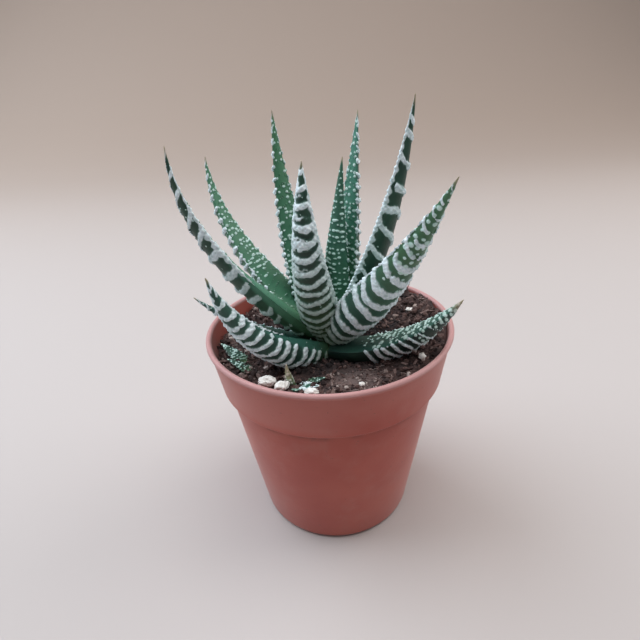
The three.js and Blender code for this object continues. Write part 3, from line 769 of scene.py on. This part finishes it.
soil = {
    "rings": 90, "segments": 240, "crumbs": 3000, "chips": 800, "fibres": 420, "twigs": 14, "batch": 80,
    "plantLevel": 45.6, "bank": 1.8, "bankSlant": 1.5, "highSide": 20,        # mm and degrees
    "heap": 1.25, "heapSide": 24, "heapSpread": 34,      # mm and degrees; peat pushed up to the lip
    "smoothPatch": (5, -18), "smoothReach": 5.5, "tuft": (19.6, 15.6), "shadeReach": 14.5, "tone": 0.30,
    "wallGap": 0.35,
    "ballRadius": 17, "shoulderInset": 2.5, "shoulderDrop": 9,
    "wallSlope": 0.16,                        # how much wider the pot gets for each mm of height
    "ovalAcross": 0.52,                       # how far the sagged pot widens it
}


def soilHeight(x, y, reach):                 # height of the peat's surface in mm, from a place in mm
    radius = math.hypot(x, y)
    place = Vector((x, y, 0))
    rough = 0.3 + 0.7 * min(1, math.dist((x, y), soil["smoothPatch"]) / soil["smoothReach"])
    lumps = noise.fractal(place * 0.35, 1.0, 2.0, 4) * 0.9 * rough
    fine = noise.fractal(place * 1.3 + Vector((9, 4, 2)), 1.0, 2.0, 3) * 0.4 * rough
    crown = 0.8 * math.exp(-(radius / 8) ** 2)
    edge = -0.7 * max(0, (radius - 22) / 3.5) ** 2
    slant = soil["bankSlant"] * math.cos(math.atan2(y, x) - math.radians(soil["highSide"]))
    climb = (soil["bank"] + slant) * (radius / reach) ** 2
    off = (math.degrees(math.atan2(y, x)) - soil["heapSide"]) / soil["heapSpread"]
    climb += soil["heap"] * math.exp(-off ** 2) * (radius / reach) ** 7
    return soil["plantLevel"] + climb + lumps + fine + crown + edge - 0.2


def smoothShare(x, y):                       # 1 in the middle of the pressed patch at the front
    return math.exp(-(math.dist((x, y), soil["smoothPatch"]) / soil["smoothReach"]) ** 2)


def peatTone(x, y):                          # painted shade, dark round the plant under its leaves; dry and pale on the patch
    shadeNearPlant = math.exp(-(math.hypot(x, y) / soil["shadeReach"]) ** 4)
    return soil["tone"] + 0.25 * smoothShare(x, y) - 0.50 * shadeNearPlant


def makeSoil():
    low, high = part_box("soil")
    level, bottom = soil["plantLevel"], low.z / mm
    reach = (high.x - low.x) / 2 / mm - soil["ovalAcross"]
    steps = soil["rings"]
    outline = [(0, bottom), (soil["ballRadius"], bottom)]
    outline += [(reach - soil["shoulderInset"], level - soil["shoulderDrop"]), (reach, level - 1)]
    outline += [(reach * (1 - step / steps), level - 0.5) for step in range(steps + 1)]
    bm = spunBody(outline, soil["segments"])
    tones = []
    for vert in bm.verts:
        x, y, z = vert.co / mm
        if z > level - 0.8:
            vert.co.z = soilHeight(x, y, reach) * mm
            widen = soil["wallSlope"] * (vert.co.z / mm - level) * (math.hypot(x, y) / reach) ** 6
            vert.co.xy *= 1 + max(0, widen) / reach
        vert.co.xy = Vector(sag(*(vert.co / mm))) * mm
        tones.append(peatTone(x, y))
    mesh = toMesh(bm, "peat")
    setField(mesh, "tone", tones)
    setField(mesh, "dust", [smoothShare(*(vert.co.xy / mm)) for vert in mesh.vertices])
    finish = makeSoilFinish()
    addPiece("peat", mesh, finish, "peat", "soil")
    makeCrumbs(reach, finish)


peatShades = [                               # how bright the peat is, and its colour there
    (0.05, (0.012, 0.007, 0.008, 1)), (0.32, (0.045, 0.024, 0.022, 1)), (0.55, (0.115, 0.065, 0.058, 1)),
    (0.78, (0.23, 0.16, 0.145, 1)), (0.97, (0.50, 0.42, 0.39, 1)),
]
peatDust = (0.185, 0.150, 0.145, 1)


def makeSoilFinish():
    peat = newFinish("darkPeat")
    place = peat.place()
    tone = peat.attribute("tone")
    clump = peat.noise(place, 300, 4)
    grain = peat.noise(place, 2200, 3)
    shade = tone + 0.8 * (clump - 0.5) + 0.55 * (grain - 0.5)
    colour = peat.add("ShaderNodeValToRGB", {"Fac": shade}, stops=peatShades)
    colour = peat.mix(peat.attribute("dust") * 0.45, colour, peatDust)
    return peat.surface(colour, 0.92, peat.bump(grain + clump, 0.6, 0.0004))


def makeCrumbs(reach, finish):
    draw = random.Random(5)
    whole = bmesh.new()
    tones = []

    def scatter():
        radius = (reach - soil["wallGap"]) * math.sqrt(draw.random())
        spin = draw.uniform(0, 2 * math.pi)
        return radius * math.cos(spin), radius * math.sin(spin)

    def settle(bm, verts, x, y, size, stretch, tone, sink, upright=False):
        turn = Matrix.Rotation(draw.uniform(0, 6.28), 4, "Z")
        if upright:
            turn = turn @ Matrix.Rotation(draw.uniform(1.0, 2.1), 4, "Y")
        elif stretch[0] > 3:                   # fibres lie nearly flat
            turn = turn @ Matrix.Rotation(draw.gauss(0, 0.22), 4, "Y")
        else:
            turn = turn @ Matrix.Rotation(draw.gauss(0, 0.9), 4, "X")
            turn = turn @ Matrix.Rotation(draw.gauss(0, 0.6), 4, "Y")
        scale = Matrix.Diagonal((size * stretch[0] * mm, size * stretch[1] * mm, size * stretch[2] * mm, 1))
        height = soilHeight(x, y, reach) + size * sink
        spot = Vector((*sag(x, y, height), height)) * mm
        bmesh.ops.transform(bm, matrix=Matrix.Translation(spot) @ turn @ scale, verts=verts)
        # the crumbs take the same painted shade round the plant
        tones.extend([tone + peatTone(x, y) - soil["tone"]] * len(verts))

    def crumb(bm):
        x, y = scatter()
        size = (0.18 + 0.75 * draw.random() ** 3) * (1 - 0.5 * smoothShare(x, y))
        verts = bmesh.ops.create_icosphere(bm, subdivisions=1, radius=1)["verts"]
        for vert in verts:
            vert.co *= draw.uniform(0.7, 1.25)
        tone = draw.choice([0.12, 0.2, 0.3, 0.35, 0.5, 0.6, 0.9]) + draw.uniform(-0.08, 0.08)
        settle(bm, verts, x, y, size, (1, draw.uniform(0.6, 1), draw.uniform(0.5, 1)), tone, 0.25)

    def chip(bm):
        x, y = scatter()
        verts = bmesh.ops.create_cube(bm, size=1)["verts"]
        for vert in verts:
            vert.co += Vector([draw.uniform(-0.2, 0.2) for _ in range(3)])
        size = draw.uniform(0.5, 1.8) * (1 - 0.5 * smoothShare(x, y))
        settle(bm, verts, x, y, size, (1, draw.uniform(0.25, 0.5), 0.22), draw.uniform(0.25, 0.8), 0.15)

    def strand(bm, x, y, size, tone, upright=False):
        before = len(bm.verts), len(bm.edges)
        bmesh.ops.create_cone(bm, cap_ends=True, segments=4, radius1=0.5, radius2=0.3, depth=1)
        bm.edges.ensure_lookup_table()
        long = [edge for edge in bm.edges[before[1]:] if abs(edge.verts[0].co.z - edge.verts[1].co.z) > 0.5]
        bmesh.ops.subdivide_edges(bm, edges=long, cuts=4)
        bm.verts.ensure_lookup_table()
        verts = bm.verts[before[0]:]
        bend, sway = draw.uniform(-3, 3), draw.uniform(0, 6.28)
        for vert in verts:
            along = vert.co.z
            side = vert.co.y + 0.8 * math.sin(5 * along + sway)
            vert.co = Vector((along, vert.co.x + bend * along ** 2, side))
        settle(bm, verts, x, y, size, (draw.uniform(12, 30), 1, 1), tone, 1.2, upright)

    def fibre(bm):
        strand(bm, *scatter(), draw.uniform(0.06, 0.13), draw.choice([0.3, 0.55, 0.75, 0.9]))

    def twig(bm):
        x, y = (value + draw.gauss(0, 0.5) for value in soil["tuft"])
        strand(bm, x, y, draw.uniform(0.10, 0.2), draw.uniform(0.25, 0.5), upright=True)

    for makeBit, kind in ((crumb, "crumbs"), (chip, "chips"), (fibre, "fibres"), (twig, "twigs")):
        count = soil[kind]
        for start in range(0, count, soil["batch"]):
            bm = bmesh.new()                 # small batches, because the operators slow down on a large mesh
            for _ in range(min(soil["batch"], count - start)):
                makeBit(bm)
            bm.verts.ensure_lookup_table()
            part = toMesh(bm, "batch", smooth=False)
            whole.from_mesh(part)
            bpy.data.meshes.remove(part)
    mesh = toMesh(whole, "peatCrumbs", smooth=False)
    setField(mesh, "tone", tones)
    addPiece("peatCrumbs", mesh, finish, "peat")


makeSoil()
print("soil ready")

# white grains

grains = {"dull": (0.80, 0.78, 0.74, 1), "bright": (0.95, 0.94, 0.92, 1), "sink": 0.3}       # sink in mm


def makeGrains():
    white = newFinish("perlite")
    place = white.place()
    pores = white.noise(place, 1400, 4)
    colour = white.mix(white.between(pores, 0.35, 0.65), grains["dull"], grains["bright"])
    material = white.surface(colour, 0.85, white.bump(pores, 0.7, 0.0004))
    for node in [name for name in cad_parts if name.startswith("perlite")]:
        low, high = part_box(node)
        middle, half = (low + high) / 2, (high - low) / 2
        bm = bmesh.new()
        bmesh.ops.create_icosphere(bm, subdivisions=5, radius=1)
        for vert in bm.verts:
            spot = vert.co * 1.6 + middle * 1000
            lump = 1 + 0.30 * noise.noise(spot)
            lump = lump + 0.12 * noise.noise(spot * 3) + 0.04 * noise.noise(spot * 8)
            vert.co = Vector(a * b for a, b in zip(vert.co * lump, half)) + middle
            vert.co.z -= grains["sink"] * mm
        addPiece(node + "_grain", toMesh(bm, node), material, "perlite", node)


makeGrains()
print("grains ready")
